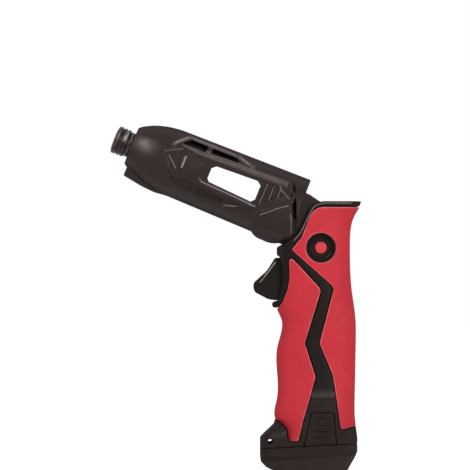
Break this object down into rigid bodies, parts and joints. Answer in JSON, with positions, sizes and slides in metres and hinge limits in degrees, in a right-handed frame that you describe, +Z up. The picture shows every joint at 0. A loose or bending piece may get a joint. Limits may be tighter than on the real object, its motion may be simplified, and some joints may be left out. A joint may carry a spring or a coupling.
{
  "type": "folding electric screwdriver",
  "caption": "Cordless screwdriver whose dark geared head folds from pistol to in-line on a red soft-grip handle with trigger, direction button and slide-out battery.",
  "frame": {"origin": "centre of the battery foot's flat underside", "axes": "+Z up along the grip, -X toward the chuck in the pistol pose, +Y across the mirror plane"},
  "size_m": [0.1504, 0.0434, 0.2064],
  "materials": {
    "head_plastic": "satin, warm brown-black",
    "black_gloss": "gloss black",
    "black_matte": "fine matte black",
    "soft_red": "soft-touch red",
    "button_red": "gloss red",
    "label_white": "smooth white",
    "lens_clear": "clear",
    "board_green": "circuit board",
    "steel": "turned steel",
    "dark_steel": "dark plated steel",
    "bronze": "sintered bronze",
    "ferrite": "dark ferrite and iron",
    "cell_wrap": "wrapped cell"
  },
  "bodies": {
    "grip": {"grip_shell_left": "black_gloss", "grip_shell_right": "black_gloss", "grip_screws": "steel", "rear_pad_left": "soft_red", "rear_pad_right": "soft_red", "front_pad_left": "soft_red", "front_pad_right": "soft_red", "base_collar": "black_matte", "button_bezel_left": "black_gloss", "button_bezel_right": "black_gloss", "pivot_pin": "steel", "trigger_switch": "black_matte", "trigger_spring": "steel", "detent_spring": "steel", "contact_springs": "bronze", "contact_block": "black_matte", "control_board": "board_green"},
    "head": {"head_shell_left": "head_plastic", "head_shell_right": "head_plastic", "head_screws": "steel", "label_plate_left": "label_white", "label_plate_right": "label_white", "led_lens": "lens_clear", "led_board": "board_green", "pivot_bushes": "bronze", "motor_plate": "black_matte", "ring_gear": "black_matte", "motor_can": "dark_steel", "motor_end_cap": "black_matte", "motor_magnets": "ferrite", "gear_housing": "black_matte", "nose_bush": "bronze"},
    "rotor": {"armature": "ferrite", "motor_shaft": "steel", "commutator": "bronze", "motor_pinion": "steel"},
    "carrier": {"stage1_carrier": "steel", "stage2_sun_gear": "steel"},
    "output": {"spindle": "steel", "bit_ball": "steel", "chuck_clip": "steel", "chuck_spring": "steel"},
    "sleeve": {"chuck_sleeve": "dark_steel"},
    "trigger": {"trigger": "black_gloss"},
    "direction": {"direction_button": "button_red"},
    "detent": {"detent_plunger": "steel"},
    "battery": {"battery_case": "black_matte", "battery_foot": "black_matte", "battery_cells": "cell_wrap", "battery_terminals": "bronze"},
    "latch_l": {"latch_left": "black_matte"},
    "latch_r": {"latch_right": "black_matte"},
    "planet_1_1": {"stage1_planet_1": "steel"},
    "planet_1_2": {"stage1_planet_2": "steel"},
    "planet_1_3": {"stage1_planet_3": "steel"},
    "planet_2_1": {"stage2_planet_1": "steel"},
    "planet_2_2": {"stage2_planet_2": "steel"},
    "planet_2_3": {"stage2_planet_3": "steel"}
  },
  "joints": [
    {"name": "fold", "type": "hinge", "parent": "grip", "child": "head", "pos_m": [0.0054, 0, 0.1491], "axis": [0, 1, 0], "range_deg": [0, 68]},
    {"name": "spindle_spin", "type": "hinge", "parent": "head", "child": "output", "pos_m": [-0.08732, 0, 0.18656], "axis": [-0.9272, 0, 0.3746], "continuous": true},
    {"name": "rotor_spin", "type": "hinge", "parent": "head", "child": "rotor", "pos_m": [-0.03632, 0, 0.16596], "axis": [-0.9272, 0, 0.3746], "continuous": true},
    {"name": "carrier_spin", "type": "hinge", "parent": "head", "child": "carrier", "pos_m": [-0.06228, 0, 0.17645], "axis": [-0.9272, 0, 0.3746], "continuous": true},
    {"name": "planet_1_1_spin", "type": "hinge", "parent": "carrier", "child": "planet_1_1", "pos_m": [-0.05502, 0, 0.18241], "axis": [-0.9272, 0, 0.3746], "continuous": true},
    {"name": "planet_1_2_spin", "type": "hinge", "parent": "carrier", "child": "planet_1_2", "pos_m": [-0.05966, 0.00715, 0.17094], "axis": [-0.9272, 0, 0.3746], "continuous": true},
    {"name": "planet_1_3_spin", "type": "hinge", "parent": "carrier", "child": "planet_1_3", "pos_m": [-0.05966, -0.00715, 0.17094], "axis": [-0.9272, 0, 0.3746], "continuous": true},
    {"name": "planet_2_1_spin", "type": "hinge", "parent": "output", "child": "planet_2_1", "pos_m": [-0.06429, 0, 0.18616], "axis": [-0.9272, 0, 0.3746], "continuous": true},
    {"name": "planet_2_2_spin", "type": "hinge", "parent": "output", "child": "planet_2_2", "pos_m": [-0.06893, 0.00715, 0.17468], "axis": [-0.9272, 0, 0.3746], "continuous": true},
    {"name": "planet_2_3_spin", "type": "hinge", "parent": "output", "child": "planet_2_3", "pos_m": [-0.06893, -0.00715, 0.17468], "axis": [-0.9272, 0, 0.3746], "continuous": true},
    {"name": "sleeve_slide", "type": "slide", "parent": "output", "child": "sleeve", "axis": [-0.9272, 0, 0.3746], "range_m": [0, 0.002], "stiffness_N_per_m": 400, "springref_m": -0.002},
    {"name": "trigger_pull", "type": "slide", "parent": "grip", "child": "trigger", "axis": [1, 0, 0], "range_m": [0, 0.0045], "stiffness_N_per_m": 600, "springref_m": -0.006},
    {"name": "direction_slide", "type": "slide", "parent": "grip", "child": "direction", "axis": [0, 1, 0], "range_m": [-0.002, 0.002]},
    {"name": "detent_slide", "type": "slide", "parent": "grip", "child": "detent", "axis": [-1, 0, 0], "range_m": [0, 0.0008], "stiffness_N_per_m": 300, "springref_m": 0.003},
    {"name": "battery_slide", "type": "slide", "parent": "grip", "child": "battery", "axis": [0, 0, -1], "range_m": [0, 0.085]},
    {"name": "latch_left_press", "type": "slide", "parent": "battery", "child": "latch_l", "axis": [0, 1, 0], "range_m": [0, 0.0014], "stiffness_N_per_m": 500, "springref_m": -0.002},
    {"name": "latch_right_press", "type": "slide", "parent": "battery", "child": "latch_r", "axis": [0, -1, 0], "range_m": [0, 0.0014], "stiffness_N_per_m": 500, "springref_m": -0.002}
  ],
  "couplings": [
    {"joint": "rotor_spin", "follows": "spindle_spin", "ratio": 25},
    {"joint": "carrier_spin", "follows": "spindle_spin", "ratio": 5},
    {"joint": "planet_1_1_spin", "follows": "spindle_spin", "ratio": -13.333},
    {"joint": "planet_1_2_spin", "follows": "spindle_spin", "ratio": -13.333},
    {"joint": "planet_1_3_spin", "follows": "spindle_spin", "ratio": -13.333},
    {"joint": "planet_2_1_spin", "follows": "spindle_spin", "ratio": -2.6667},
    {"joint": "planet_2_2_spin", "follows": "spindle_spin", "ratio": -2.6667},
    {"joint": "planet_2_3_spin", "follows": "spindle_spin", "ratio": -2.6667}
  ]
}
